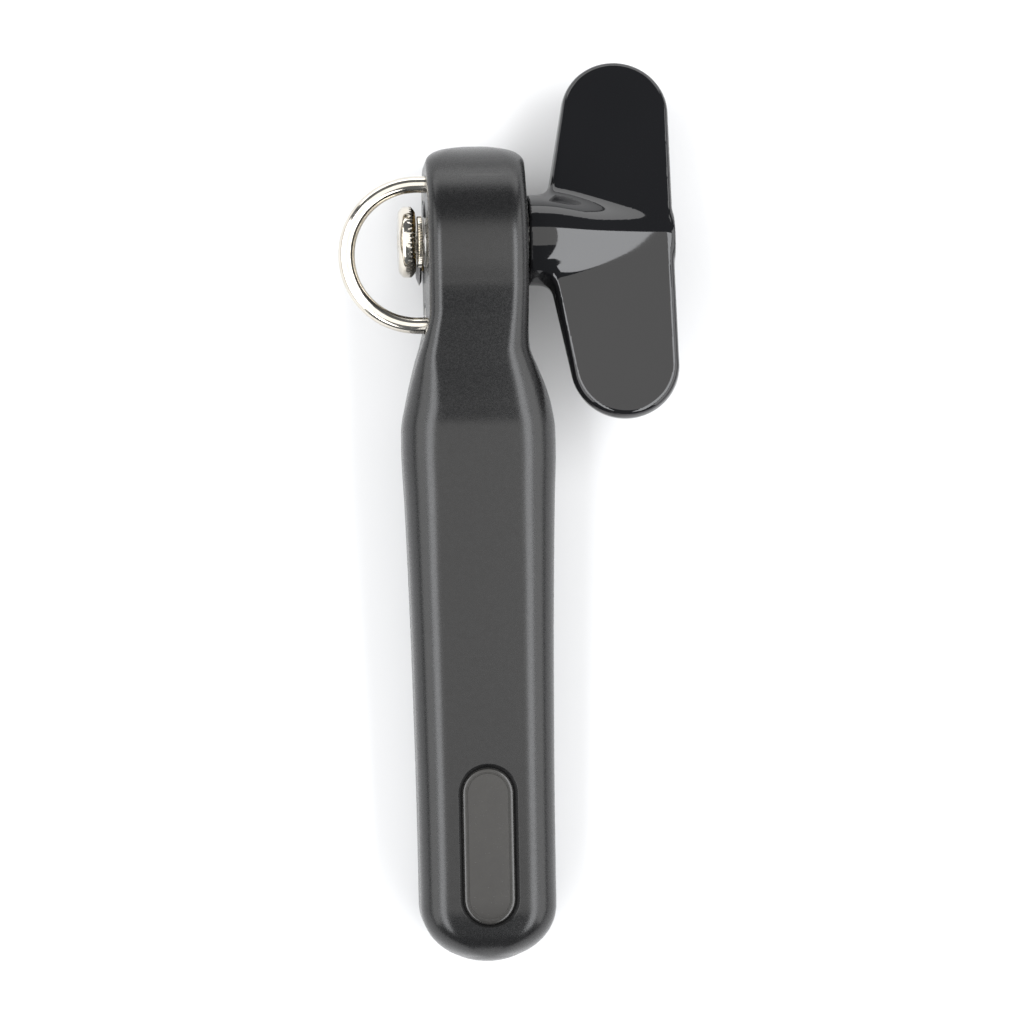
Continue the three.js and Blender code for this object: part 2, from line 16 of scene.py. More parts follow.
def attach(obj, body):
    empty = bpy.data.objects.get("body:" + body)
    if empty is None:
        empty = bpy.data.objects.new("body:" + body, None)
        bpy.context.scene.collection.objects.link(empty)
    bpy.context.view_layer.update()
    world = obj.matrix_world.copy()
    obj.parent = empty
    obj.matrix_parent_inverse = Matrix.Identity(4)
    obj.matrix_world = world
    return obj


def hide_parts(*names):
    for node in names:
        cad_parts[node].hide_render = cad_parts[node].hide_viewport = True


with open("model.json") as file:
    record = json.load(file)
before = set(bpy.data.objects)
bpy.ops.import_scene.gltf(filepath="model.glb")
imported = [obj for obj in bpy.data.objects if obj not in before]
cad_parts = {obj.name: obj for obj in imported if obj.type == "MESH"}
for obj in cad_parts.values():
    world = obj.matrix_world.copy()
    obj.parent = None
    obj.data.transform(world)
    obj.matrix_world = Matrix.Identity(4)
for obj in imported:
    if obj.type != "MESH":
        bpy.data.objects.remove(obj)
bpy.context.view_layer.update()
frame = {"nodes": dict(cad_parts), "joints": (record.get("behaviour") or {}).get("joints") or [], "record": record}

# Casing, as in the CAD model
HEAD_TOP = 24.2
HEAD_DEPTH = 20.8
HEAD_HALF_WIDTH = 10.85
DRIVE_Y = 3.4
HANDLE_DEPTH = 12.4
TAIL_Y = -154.6
TAIL_ROUND = 12.8
TOP_ROUND = 5.0
WALL = 2.4
SEAM = 0.05
SKIN = 0.05  # how far the fine skin stays inside the CAD outline
SCREW_SEAT = 4.5  # from the back to the floor of a screw well
COVER_INSET = 2.6
COVER_BOTTOM = -18.5
COVER_BACK = -8.05
RIGHT_WIDTH = [
    (-17, HEAD_HALF_WIDTH), (-20.5, 11.1), (-24.9, 12.9), (-29.3, 14.8), (-33.7, 16.1), (-38.2, 16.8),
    (-42.5, 16.85), (-53.5, 16.4), (-75.5, 15.7), (-97.5, 15.25), (-119.5, 14.95), (-141.8, 14.85),
]
LEFT_WIDTH = [(-13, HEAD_HALF_WIDTH), (-18.3, 11.9), (-22.7, 13.3), (-31.5, 15.6)] + RIGHT_WIDTH[5:]
NECK_DEPTH = [
    (0, HEAD_DEPTH), (-7, 19.95), (-14, 18.1), (-24, 15.6), (-33, 13.5), (-38, 12.6), (-43, HANDLE_DEPTH),
]
RIGHT_CORNER = [(-8, 4.1), (-18, 5.0), (-26, 7.4), (-34, 8.8), (-44, 8.6), (-75, 7.6), (-141.8, 7.0)]
LEFT_CORNER = [
    (24, 3.4), (16, 3.2), (-15, 3.2), (-22, 4.2), (-29, 6.8), (-35, 8.2), (-44, 8.0), (-75, 7.0),
    (-141.8, 6.5),
]

# Drive and cutter
THROW = 1.6
SLEEVE_Y = DRIVE_Y + THROW * math.sqrt(0.5)
SLEEVE_Z = -THROW * math.sqrt(0.5)
SLEEVE_RADIUS = 6.5
COVER_BORE_RADIUS = 7.8
FEED_TEETH = 53
FLANGE_TEETH = 45
CUTTER_Y = 0.85
CUTTER_Z = -13.93
LOOP_RADIUS = 15.4
LOOP_WIRE = 1.8
LOOP_Z = 6.0
LOOP_STRAIGHT = 2.0
KEY_TURN = math.radians(-10)
KEY_TIP = 41.0
KEY_TIP_RADIUS = 12.0
KEY_OUTER = 44.1
KEY_BOSS_START = 11.6
KEY_INNER_SLOPE = 0.185
KEY_DRAFT = 0.13
KEY_EDGE = 1.3
KEY_SPINE_EDGE = 0.6
KEY_TIP_HALF = 2.55
KEY_ROOT_GAIN = 1.9
KEY_TAPER_END = 36
KEY_FILLET = 3.2
KEY_BORE = (6.9, 12.6)  # radius, and the x it ends at
KEY_WELL = (3.0, 40.6)  # radius, and the x of its floor
KEY_GRID = 0.42
SHELL_SCREWS = {
    "head_screw": (3, 18.6), "neck_screw": (0, -26), "upper_handle_screw": (0, -62), "lower_handle_screw": (0, -102),
}
PLATE_SCREWS = {"upper_plate_screw": (15.2, -8.2), "lower_plate_screw": (-12.5, -7)}
BADGE_Y = -128.8
BADGE_WIDTH = 11.0
BADGE_LENGTH = 33.7

# ---- Placing ----

TILT = math.atan((HEAD_DEPTH - HANDLE_DEPTH) / -(TAIL_Y + TAIL_ROUND))
key_joint = next(joint for joint in frame["joints"] if joint["name"] == "key_turn")
drive_point = Vector(key_joint["pos_m"])
placed = (
    Matrix.Translation(drive_point) @ Matrix.Rotation(TILT, 4, "X")
    @ Matrix.Scale(0.001, 4) @ Matrix.Translation((0, -DRIVE_Y, 0))
)
key_placed = Matrix.Translation(drive_point) @ Matrix.Rotation(KEY_TURN, 4, "X") @ Matrix.Scale(0.001, 4)


def new_object(name, vertices, faces, place=placed):
    mesh = bpy.data.meshes.new(name)
    mesh.from_pydata([tuple(v) for v in vertices], [], faces)
    mesh.transform(place)
    mesh.validate()
    obj = bpy.data.objects.new(name, mesh)
    bpy.context.scene.collection.objects.link(obj)
    return obj


def smooth(obj, angle=35):
    obj.data.shade_smooth()
    obj.data.set_sharp_from_angle(angle=math.radians(angle))
    return obj


def modified(obj):
    """Bakes the modifiers into the mesh."""
    graph = bpy.context.evaluated_depsgraph_get()
    mesh = bpy.data.meshes.new_from_object(obj.evaluated_get(graph))
    obj.modifiers.clear()
    obj.data = mesh
    return obj


def combined(obj, other, operation):
    modifier = obj.modifiers.new("boolean", "BOOLEAN")
    modifier.object = other
    modifier.operation = operation
    modifier.solver = "MANIFOLD"
    modified(obj)
    bpy.data.objects.remove(other)
    return obj


def cut(obj, other):
    return combined(obj, other, "DIFFERENCE")


def copied(obj):
    twin = obj.copy()
    twin.data = obj.data.copy()
    bpy.context.scene.collection.objects.link(twin)
    return twin


# ---- Meshes ----

def ring_mesh(name, rings, close_rows=False, place=placed):
    """Rings of the same number of points, joined by quads, with flat ends unless the last row meets the first."""
    count = len(rings[0])
    vertices = [point for ring in rings for point in ring]
    faces = []
    rows = len(rings)
    for i in range(rows if close_rows else rows - 1):
        below, above = i * count, ((i + 1) % rows) * count
        for j in range(count):
            k = (j + 1) % count
            faces.append((below + j, below + k, above + k, above + j))
    if not close_rows:
        faces.append(tuple(range(count))[::-1])
        faces.append(tuple(range((rows - 1) * count, rows * count)))
    obj = new_object(name, vertices, faces, place)
    mesh = bmesh.new()
    mesh.from_mesh(obj.data)
    bmesh.ops.recalc_face_normals(mesh, faces=mesh.faces)
    mesh.to_mesh(obj.data)
    mesh.free()
    return obj


def turned(name, profile, y=0.0, z=0.0, segments=96, wave=None, place=placed):
    """A closed profile of (radius, x) rows turned about X through (y, z). wave(row, angle) changes a radius."""
    angles = np.linspace(0, 2 * math.pi, segments, endpoint=False)
    rings = []
    for row, (radius, x) in enumerate(profile):
        ring = []
        for angle in angles:
            reach = radius + (wave(row, angle) if wave else 0.0)
            ring.append((x, y + reach * math.cos(angle), z + reach * math.sin(angle)))
        rings.append(ring)
    solid = profile[0][0] > 0.2 and profile[-1] == profile[0]
    if solid:
        rings.pop()
    return ring_mesh(name, rings, close_rows=solid, place=place)


def rounded(profile, radius, steps=4):
    """The closed profile with its corners rounded by this radius, less where a side is short."""
    points = [np.array(p, float) for p in profile]
    count = len(points)
    result = []
    for i, corner in enumerate(points):
        before, after = points[i - 1] - corner, points[(i + 1) % count] - corner
        reach = min(radius, 0.45 * np.linalg.norm(before), 0.45 * np.linalg.norm(after))
        start = corner + before / np.linalg.norm(before) * reach
        end = corner + after / np.linalg.norm(after) * reach
        for t in np.linspace(0, 1, steps + 1):
            result.append(tuple((1 - t) ** 2 * start + 2 * t * (1 - t) * corner + t ** 2 * end))
    return result


def turned_ring(name, profile, radius, y=0.0, z=0.0, segments=96, wave=None, place=placed):
    """A ring or disc with a bore: its (radius, x) corners, rounded, closed on itself."""
    rows = rounded(profile, radius)
    return smooth(turned(name, rows + [rows[0]], y, z, segments, wave, place), 50)


def rod(name, radius, start, end, y, z, segments=96, place=placed):
    return turned(name, [(radius, start), (radius, end)], y, z, segments, place=place)


def rod_z(name, profile, x, y, segments=64):
    """(radius, z) rows turned about Z through (x, y)."""
    angles = np.linspace(0, 2 * math.pi, segments, endpoint=False)
    rings = [
        [(x + radius * math.cos(a), y + radius * math.sin(a), height) for a in angles] for radius, height in profile
    ]
    return ring_mesh(name, rings)


def prism_x(name, outline, rows):
    """An outline function of inset, giving (y, z) points, stacked at (x, inset) rows."""
    return ring_mesh(name, [[(x, y, z) for y, z in outline(inset)] for x, inset in rows])


# ---- The body's outline ----

def along(rows, y):
    """Smooth, monotone curve through rows of (y, value) that run downwards, level past both ends."""
    if y >= rows[0][0]:
        return rows[0][1]
    if y <= rows[-1][0]:
        return rows[-1][1]
    last = len(rows) - 1
    i = next(k for k, row in enumerate(rows) if y > row[0]) - 1

    def slope(j):
        return (rows[j + 1][1] - rows[j][1]) / (rows[j + 1][0] - rows[j][0])

    def tangent(j):
        if j in (0, last):
            return 0.0
        a, b = slope(j - 1), slope(j)
        return 0.0 if a * b <= 0 else 2 * a * b / (a + b)

    step = rows[i + 1][0] - rows[i][0]
    t = (y - rows[i][0]) / step
    return (
        rows[i][1] * (2 * t ** 3 - 3 * t ** 2 + 1) + rows[i + 1][1] * (3 * t ** 2 - 2 * t ** 3)
        + step * (tangent(i) * (t ** 3 - 2 * t ** 2 + t) + tangent(i + 1) * (t ** 3 - t ** 2))
    )


def rounding(past, length, fullness):
    if past <= 0:
        return 1.0
    return max(0.0, 1 - min(1.0, past / length) ** fullness) ** (1 / fullness)


def half_depth(y, inset=0.0):
    if y > 0:
        level = (HEAD_DEPTH - inset) * math.sqrt(max(0.0, 1 - (y / (HEAD_TOP - inset)) ** 2))
    else:
        level = along(NECK_DEPTH, y) - inset
    return level * rounding(TAIL_Y + TAIL_ROUND - y, TAIL_ROUND - inset, 2.4)


def half_width(rows, y, inset):
    past_top = y - (HEAD_TOP - TOP_ROUND)
    return (
        (along(rows, y) - inset) * rounding(TAIL_Y + TAIL_ROUND - y, TAIL_ROUND - inset, 2)
        * rounding(past_top, TOP_ROUND - inset, 2.5)
    )


def section(y, inset, steps):
    depth = half_depth(y, inset)
    left, right = half_width(LEFT_WIDTH, y, inset), half_width(RIGHT_WIDTH, y, inset)
    limit = 0.98 * min(depth, left, right)
    left_corner = min(max(along(LEFT_CORNER, y) - inset, 0.5), limit)
    right_corner = min(max(along(RIGHT_CORNER, y) - inset, 0.5), limit)
    corners = [
        (-left + left_corner, depth - left_corner, left_corner),
        (right - right_corner, depth - right_corner, right_corner),
        (right - right_corner, -depth + right_corner, right_corner),
        (-left + left_corner, -depth + left_corner, left_corner),
    ]
    points = []
    for corner, (x, z, radius) in enumerate(corners):
        for i in range(steps + 1):
            angle = math.pi - (corner + i / steps) * math.pi / 2
            points.append((x + radius * math.cos(angle), y, z + radius * math.sin(angle)))
    return points


def body_solid(name, inset, steps, detail):
    top, bottom = HEAD_TOP - inset, TAIL_Y + inset
    tail_top = TAIL_Y + TAIL_ROUND
    quarter = np.linspace(0, math.pi / 2, detail, False)
    heights = [tail_top - (tail_top - bottom) * math.cos(t) * 0.9999 for t in quarter]
    heights += list(np.linspace(tail_top, -42.5, detail, False))
    heights += list(np.linspace(-42.5, 0, 2 * detail, False))
    heights += [top * math.sin(t) * 0.9999 for t in np.linspace(0, math.pi / 2, 2 * detail)]
    return ring_mesh(name, [section(y, inset, steps) for y in heights])


def side_outline(inset):
    bottom = COVER_BOTTOM + inset - COVER_INSET
    upper = [(y, along(NECK_DEPTH, y) - inset) for y in np.linspace(bottom, 0, 40, False)]
    for t in np.linspace(0, math.pi / 2, 49):
        upper.append(((HEAD_TOP - inset) * math.sin(t), (HEAD_DEPTH - inset) * math.cos(t)))
    corner = 2.5
    start = [
        (bottom + corner * (1 - math.cos(a)), upper[0][1] - corner + corner * math.sin(a))
        for a in np.linspace(0, math.pi / 2, 7)
    ]
    half = start + [p for p in upper if p[0] > bottom + corner + 0.1]
    return half[::-1][1:] + [(y, -z) for y, z in half][:-1] + [(half[-1][0], 0.0)]


def capsule(width, length, z):
    radius, reach = width / 2, (length - width) / 2
    upper = [(radius * math.cos(a), BADGE_Y + reach + radius * math.sin(a), z) for a in np.linspace(0, math.pi, 33)]
    lower = [(-x, 2 * BADGE_Y - y, z) for x, y, z in upper]
    return upper + lower


# ---- Pieces of the casing ----

def box_half(name, front):
    z = (SEAM, 60) if front else (-60, -SEAM)
    return ring_mesh(name, [[(-60, y, z[0]), (60, y, z[0]), (60, y, z[1]), (-60, y, z[1])] for y in (-200, 60)])


def badge_pocket():
    rows = [
        (0.3, 10.4), (0.3, 11.0), (1.5, 12.0), (1.85, 12.25), (2.6, 12.5), (2.6, 16),
    ]
    return ring_mesh("pocket", [capsule(BADGE_WIDTH + grow, BADGE_LENGTH + grow, z) for grow, z in rows])


def shells():
    outer = body_solid("body", SKIN, 14, 44)
    body = cut(copied(outer), body_solid("cavity", WALL, 4, 16))
    for x, y in SHELL_SCREWS.values():
        seat = -half_depth(y) + SCREW_SEAT
        post = rod_z("post", [(4.4, -30), (4.4, 0), (2.8, 0.01), (2.8, 30)], x, y)
        body = combined(body, combined(post, copied(outer), "INTERSECT"), "UNION")
        surface = -half_depth(y) + 0.05
        well = [(3.5, -30), (3.5, surface - 0.3), (3, surface + 0.3), (3, seat)]
        body = cut(body, rod_z("well", well, x, y))
        body = cut(body, rod_z("hole", [(1.5, -30), (1.5, 7.8)], x, y, 32))
    for y, z in PLATE_SCREWS.values():
        body = combined(body, rod("boss", 2.6, -6, 9.5, y, z, 48), "UNION")
        body = cut(body, rod("pilot", 1.35, -7, -1.5, y, z, 32))
    mouth = COVER_INSET - 0.1
    body = cut(body, prism_x("opening", side_outline, [(-30, mouth), (COVER_BACK + 0.1, mouth)]))
    body = cut(body, rod("seat", 9.7, 5, 13, SLEEVE_Y, SLEEVE_Z))
    body = cut(body, rod("seat_rim", 11.6, 9.95, 13, SLEEVE_Y, SLEEVE_Z))
    bpy.data.objects.remove(outer)
    front, back = copied(body), body
    front = combined(front, box_half("front_half", True), "INTERSECT")
    back = combined(back, box_half("back_half", False), "INTERSECT")
    front.name, back.name = "front_shell_skin", "back_shell_skin"
    return smooth(cut(front, badge_pocket()), 30), smooth(back, 30)


def side_cover():
    cover = body_solid("side_cover_skin", SKIN, 14, 44)
    edge = [(-30, COVER_INSET), (COVER_BACK, COVER_INSET)]
    cover = combined(cover, prism_x("edge", side_outline, edge), "INTERSECT")
    holes = [
        ("bore", COVER_BORE_RADIUS, SLEEVE_Y, SLEEVE_Z), ("axle", 3.2, CUTTER_Y, CUTTER_Z),
        ("upper_leg", LOOP_WIRE + 0.12, LOOP_RADIUS, LOOP_Z), ("lower_leg", LOOP_WIRE + 0.12, -LOOP_RADIUS, LOOP_Z),
    ]
    for name, radius, y, z in holes:
        face = -HEAD_HALF_WIDTH
        rows = [(radius + 0.35, face - 8), (radius + 0.35, face - 0.02), (radius, face + 0.33), (radius, 0)]
        cover = cut(cover, turned(name, rows, y, z, 96))
    for y, z in PLATE_SCREWS.values():
        rows = [(3.1, -30), (3.1, -HEAD_HALF_WIDTH - 0.02), (2.9, -HEAD_HALF_WIDTH + 0.2),
                (2.9, -HEAD_HALF_WIDTH + 1.2), (1.5, -HEAD_HALF_WIDTH + 1.21), (1.5, 0)]
        cover = cut(cover, turned("sink", rows, y, z, 64))
    return smooth(cover, 30)


def badge_plate():
    rows = [(0, 10.7), (0, 11.15), (-0.12, 11.3), (-0.4, 11.4), (-1.6, 11.4), (-1.75, 11.32), (-2.1, 11.32),
            (-2.25, 11.4), (-4.0, 11.45), (-8.0, 11.5)]
    obj = ring_mesh("badge_plate_fine", [capsule(BADGE_WIDTH + grow, BADGE_LENGTH + grow, z) for grow, z in rows])
    return smooth(obj, 40)


def knob_bezel():
    profile = [(SLEEVE_RADIUS + 0.3, 6.2), (9.6, 6.2), (9.6, 10.2), (11.5, 10.2), (11.5, 11.25), (8.2, 11.25),
               (7.6, 10.9), (SLEEVE_RADIUS + 0.3, 10.9)]
    return turned_ring("knob_bezel_fine", profile, 0.35, SLEEVE_Y, SLEEVE_Z, 128)


# ---- Loop, wheels and small metal ----

def guide_loop():
    bend_x = -HEAD_HALF_WIDTH - LOOP_STRAIGHT
    path = [(x, LOOP_RADIUS, 0.0) for x in (-4.6, -8.0, bend_x)]
    for turn in np.linspace(0, math.pi, 97)[1:-1]:
        path.append((bend_x - LOOP_RADIUS * math.sin(turn), LOOP_RADIUS * math.cos(turn), turn))
    path += [(x, -LOOP_RADIUS, math.pi) for x in (bend_x, -8.0, -4.6)]
    rings = []
    for x, y, turn in path:
        ring = []
        for angle in np.linspace(0, 2 * math.pi, 48, endpoint=False):
            out = LOOP_WIRE * math.cos(angle)
            ring.append((x - out * math.sin(turn), y + out * math.cos(turn), LOOP_Z + LOOP_WIRE * math.sin(angle)))
        rings.append(ring)
    return smooth(ring_mesh("guide_loop_fine", rings), 60)


def feed_flange():
    """Convex disc with V notches cut round its inner bevel."""
    plain = rounded([(2.3, -16.6), (2.6, -16.75), (6.6, -16.75), (7.8, -15.7), (7.8, -14.35)], 0.5, 6)[:-7]
    notched = [(7.8, -14.35, 0.0), (7.8, -13.95, 0.35), (7.45, -13.6, 0.6), (6.95, -13.2, 0.6), (6.45, -12.97, 0.4)]
    inner = [(6.1, -12.95), (2.3, -12.95)]
    profile = plain + [row[:2] for row in notched] + inner + plain[:1]
    depth = {len(plain) + i: row[2] for i, row in enumerate(notched)}

    def wave(row, angle):
        tooth = (angle * FLANGE_TEETH / (2 * math.pi)) % 1.0
        return -depth.get(row, 0.0) * (1 - abs(2 * tooth - 1))

    return smooth(turned("feed_flange_fine", profile, DRIVE_Y, 0, FLANGE_TEETH * 10, wave), 30)


def feed_wheel():
    """Knurled rim, with its corners broken."""
    profile = [(2.3, -12.65), (4.9, -12.65), (5.35, -12.62), (5.65, -12.42), (5.65, -11.65), (5.35, -11.45),
               (4.9, -11.42), (2.3, -11.42), (2.3, -12.65)]
    depth = {2: 0.25, 3: 0.45, 4: 0.45, 5: 0.25}

    def wave(row, angle):
        tooth = (angle * FEED_TEETH / (2 * math.pi)) % 1.0
        return -depth.get(row, 0.0) * abs(2 * tooth - 1)

    return smooth(turned("feed_wheel_fine", profile, DRIVE_Y, 0, FEED_TEETH * 10, wave), 30)


def cutter_wheel():
    profile = [(3.0, -12.4), (4.3, -12.4), (4.5, -12.3), (5.95, -11.72), (6.0, -11.66), (5.9, -11.6), (5.2, -11.25),
               (5.0, -11.2), (3.0, -11.2), (3.0, -12.4)]
    return smooth(turned("cutter_wheel_fine", profile, CUTTER_Y, CUTTER_Z, 160), 25)


def cutter_axle():
    profile = [(0.02, -14.0), (1.2, -14.0), (2.2, -13.93), (3.0, -13.72), (3.45, -13.35), (3.6, -12.95),
               (3.6, -12.75), (1.6, -12.75), (1.6, -4.9), (0.02, -4.9)]
    return smooth(turned("cutter_axle_fine", profile, CUTTER_Y, CUTTER_Z, 96), 40)


def drive_shaft():
    profile = [(0.02, -16.2), (1.4, -16.2), (1.8, -16.1), (2.0, -15.85), (2.0, -11.15), (3.0, -11.15), (3.0, 29),
               (1.7, 29), (1.7, 20), (0.02, 20)]
    return smooth(turned("drive_shaft_fine", profile, DRIVE_Y, 0, 64), 40)


def hub_washer():
    return turned_ring("hub_washer_fine", [(3.3, -11.1), (5.4, -11.1), (5.4, -10.6), (3.3, -10.6)], 0.12, DRIVE_Y, 0)


def screw_head(name, radius, height, shank, length):
    """A cross-recess screw along +Z, with the underside of its head at z = 0."""
    rows = [(0.02, length), (shank * 0.5, length), (shank, length - 1), (shank, 0), (radius, 0),
            (radius, -height * 0.45), (radius * 0.93, -height * 0.75), (radius * 0.7, -height * 0.95),
            (radius * 0.4, -height), (0.02, -height)]
    screw = rod_z(name, rows, 0, 0, 64)
    for turn in (0, math.pi / 2):
        wide, thin, deep = radius * 0.62, radius * 0.16, 1.1
        corners = [(-wide, -thin), (wide, -thin), (wide, thin), (-wide, thin)]
        rings = []
        for z, shrink in ((-height - 1, 1.0), (-height + 0.1, 1.0), (-height + deep, 0.55)):
            rings.append([
                (x * shrink * math.cos(turn) - y * math.sin(turn),
                 x * shrink * math.sin(turn) + y * math.cos(turn), z)
                for x, y in corners
            ])
        screw = cut(screw, ring_mesh("slot", rings))
    return smooth(screw, 30)


def moved(obj, x, y, z, axis="z"):
    """Takes a piece made at the upright origin, along Z, to its place; along X when axis is x."""
    turn = Matrix.Rotation(math.pi / 2, 4, "Y") if axis == "x" else Matrix.Identity(4)
    obj.data.transform(placed @ Matrix.Translation((x, y, z)) @ turn @ placed.inverted())
    return obj


# ---- Key ----

def smooth_min(a, b, blend):
    share = np.clip(0.5 + 0.5 * (b - a) / blend, 0, 1)
    return b + (a - b) * share - blend * share * (1 - share)


def both_rounded(a, b, edge):
    """Inside both fields, with the edge between them rounded."""
    p, q = a + edge, b + edge
    return np.minimum(np.maximum(p, q), 0) + np.hypot(np.maximum(p, 0), np.maximum(q, 0)) - edge


# The spine's radius along the key's axis
SPINE = np.polynomial.Polynomial.fit(
    [8, 11.6, 14, 17, 20, 24, 28, 32, 36, 40, 44.1], [10, 10, 9.97, 9.8, 9.3, 8.35, 7.3, 6.3, 5.4, 4.6, 4.0], 6)


def key_field(x, v, w):
    """Signed distance, roughly, to the key: x along its axis, v along its wings, w across them."""
    reach = KEY_TIP - KEY_TIP_RADIUS
    centre = KEY_OUTER - KEY_TIP_RADIUS
    side = np.abs(v)
    out, up = x - centre, side - reach
    tip = np.hypot(out, up) - KEY_TIP_RADIUS
    lean = math.atan(KEY_INNER_SLOPE)
    inner = up * math.sin(lean) - out * math.cos(lean) - KEY_TIP_RADIUS
    past_inner = out * math.sin(lean) + up * math.cos(lean) > 0
    outline = np.where(out < 0, np.where(past_inner, tip, inner), np.where(up > 0, tip, out - KEY_TIP_RADIUS))
    half = KEY_TIP_HALF + KEY_ROOT_GAIN * np.clip(1 - side / KEY_TAPER_END, 0, 1)
    wing = both_rounded(outline + KEY_DRAFT * np.abs(w), np.abs(w) - half, KEY_EDGE)
    ends = np.maximum(KEY_BOSS_START - x, x - KEY_OUTER)
    spine = both_rounded(np.hypot(v, w) - SPINE(x), ends, KEY_SPINE_EDGE)
    body = smooth_min(wing, spine, KEY_FILLET)
    bore = np.maximum(np.hypot(v, w) - KEY_BORE[0], x - KEY_BORE[1])
    well = np.maximum(np.hypot(v, w) - KEY_WELL[0], KEY_WELL[1] - x)
    return np.maximum(np.maximum(body, -bore), -well)


def surface_net(field, low, high, step):
    """Quads on the field's zero surface, with each vertex brought onto it."""
    axes = [np.arange(a, b + step, step) for a, b in zip(low, high)]
    grid = np.meshgrid(*axes, indexing="ij")
    value = field(*grid)
    inside = value < 0
    shape = np.array(value.shape)
    corners = [(i, j, k) for i in (0, 1) for j in (0, 1) for k in (0, 1)]
    window = tuple(shape - 1)
    count = sum(inside[i:i + window[0], j:j + window[1], k:k + window[2]].astype(int) for i, j, k in corners)
    active = (count > 0) & (count < 8)
    index = -np.ones(window, int)
    index[active] = np.arange(active.sum())
    cells = np.argwhere(active)
    points = np.array(low) + (cells + 0.5) * step
    for _ in range(8):
        base = field(*points.T)
        nudge = 0.02
        ahead = [field(*(points + nudge * axis).T) for axis in np.eye(3)]
        behind = [field(*(points - nudge * axis).T) for axis in np.eye(3)]
        slope = np.stack([(a - b) / (2 * nudge) for a, b in zip(ahead, behind)], axis=1)
        square = np.maximum((slope ** 2).sum(1), 0.05)
        points = points - slope * (base / square)[:, None] * 0.8
    faces = []
    for axis in range(3):
        a, b = [k for k in range(3) if k != axis]
        low_side = np.take(inside, range(shape[axis] - 1), axis)
        high_side = np.take(inside, range(1, shape[axis]), axis)
        for place in np.argwhere(low_side != high_side):
            if place[a] == 0 or place[b] == 0 or place[a] >= window[a] or place[b] >= window[b]:
                continue
            quad = []
            for da, db in ((-1, -1), (0, -1), (0, 0), (-1, 0)):
                cell = place.copy()
                cell[a] += da
                cell[b] += db
                quad.append(int(index[tuple(cell)]))
            flip = low_side[tuple(place)] != (axis == 1)
            faces.append(tuple(quad) if flip else tuple(quad[::-1]))
    return points, faces


def knob():
    points, faces = surface_net(key_field, (10.6, -41.0, -11.5), (45.2, 41.0, 11.5), KEY_GRID)
    points[:, 0] = np.minimum(points[:, 0], KEY_OUTER)
    obj = new_object("knob_fine", points, faces, key_placed)
    mesh = bmesh.new()
    mesh.from_mesh(obj.data)
    bmesh.ops.recalc_face_normals(mesh, faces=mesh.faces)
    mesh.to_mesh(obj.data)
    mesh.free()
    return smooth(obj, 60)


# ---- Materials ----

def material(name, color, metallic=0.0, roughness=0.4, ior=1.46):
    mat = bpy.data.materials.new(name)
    mat.use_nodes = True
    nodes = mat.node_tree.nodes
    shader = nodes["Principled BSDF"]
    shader.inputs["Base Color"].default_value = (*color, 1)
    shader.inputs["Metallic"].default_value = metallic
    shader.inputs["Roughness"].default_value = roughness
    shader.inputs["IOR"].default_value = ior
    return mat, mat.node_tree, shader


def noise(tree, scale, detail=3.0, stretch=(1, 1, 1)):
    coords = tree.nodes.new("ShaderNodeTexCoord")
    mapping = tree.nodes.new("ShaderNodeMapping")
    mapping.inputs["Scale"].default_value = stretch
    texture = tree.nodes.new("ShaderNodeTexNoise")
    texture.inputs["Scale"].default_value = scale
    texture.inputs["Detail"].default_value = detail
    tree.links.new(coords.outputs["Object"], mapping.inputs["Vector"])
    tree.links.new(mapping.outputs["Vector"], texture.inputs["Vector"])
    return texture.outputs["Fac"]


def spread(tree, value, low, high):
    ramp = tree.nodes.new("ShaderNodeMapRange")
    ramp.inputs["From Min"].default_value = 0.3
    ramp.inputs["From Max"].default_value = 0.7
    ramp.inputs["To Min"].default_value = low
    ramp.inputs["To Max"].default_value = high
    tree.links.new(value, ramp.inputs["Value"])
    return ramp.outputs["Result"]


def bump(tree, shader, value, strength, distance):
    node = tree.nodes.new("ShaderNodeBump")
    node.inputs["Strength"].default_value = strength
    node.inputs["Distance"].default_value = distance
    tree.links.new(value, node.inputs["Height"])
    tree.links.new(node.outputs["Normal"], shader.inputs["Normal"])


def tinted(tree, shader, value, dark, light):
    mix = tree.nodes.new("ShaderNodeMix")
    mix.data_type = "RGBA"
    mix.inputs["A"].default_value = (*dark, 1)
    mix.inputs["B"].default_value = (*light, 1)
    tree.links.new(value, mix.inputs["Factor"])
    tree.links.new(mix.outputs["Result"], shader.inputs["Base Color"])


def edge_wear(tree):
    """Broken patches along the outward edges, where hands and the drawer rub."""
    geometry = tree.nodes.new("ShaderNodeNewGeometry")
    edge = tree.nodes.new("ShaderNodeMapRange")
    edge.inputs["From Min"].default_value = 0.52
    edge.inputs["From Max"].default_value = 0.62
    tree.links.new(geometry.outputs["Pointiness"], edge.inputs["Value"])
    broken = tree.nodes.new("ShaderNodeMath")
    broken.operation = "MULTIPLY"
    tree.links.new(edge.outputs["Result"], broken.inputs[0])
    tree.links.new(spread(tree, noise(tree, 260, 5), 0.1, 1), broken.inputs[1])
    return broken.outputs["Value"]


def worn(tree, shader, color, roughness):
    """Mixes the shader's colour and roughness towards these along the edges."""
    wear = edge_wear(tree)
    for name, kind, value in (("Base Color", "RGBA", (*color, 1)), ("Roughness", "FLOAT", roughness)):
        mix = tree.nodes.new("ShaderNodeMix")
        mix.data_type = kind
        mix.inputs["B"].default_value = value
        tree.links.new(shader.inputs[name].links[0].from_socket, mix.inputs["A"])
        tree.links.new(wear, mix.inputs["Factor"])
        tree.links.new(mix.outputs["Result"], shader.inputs[name])


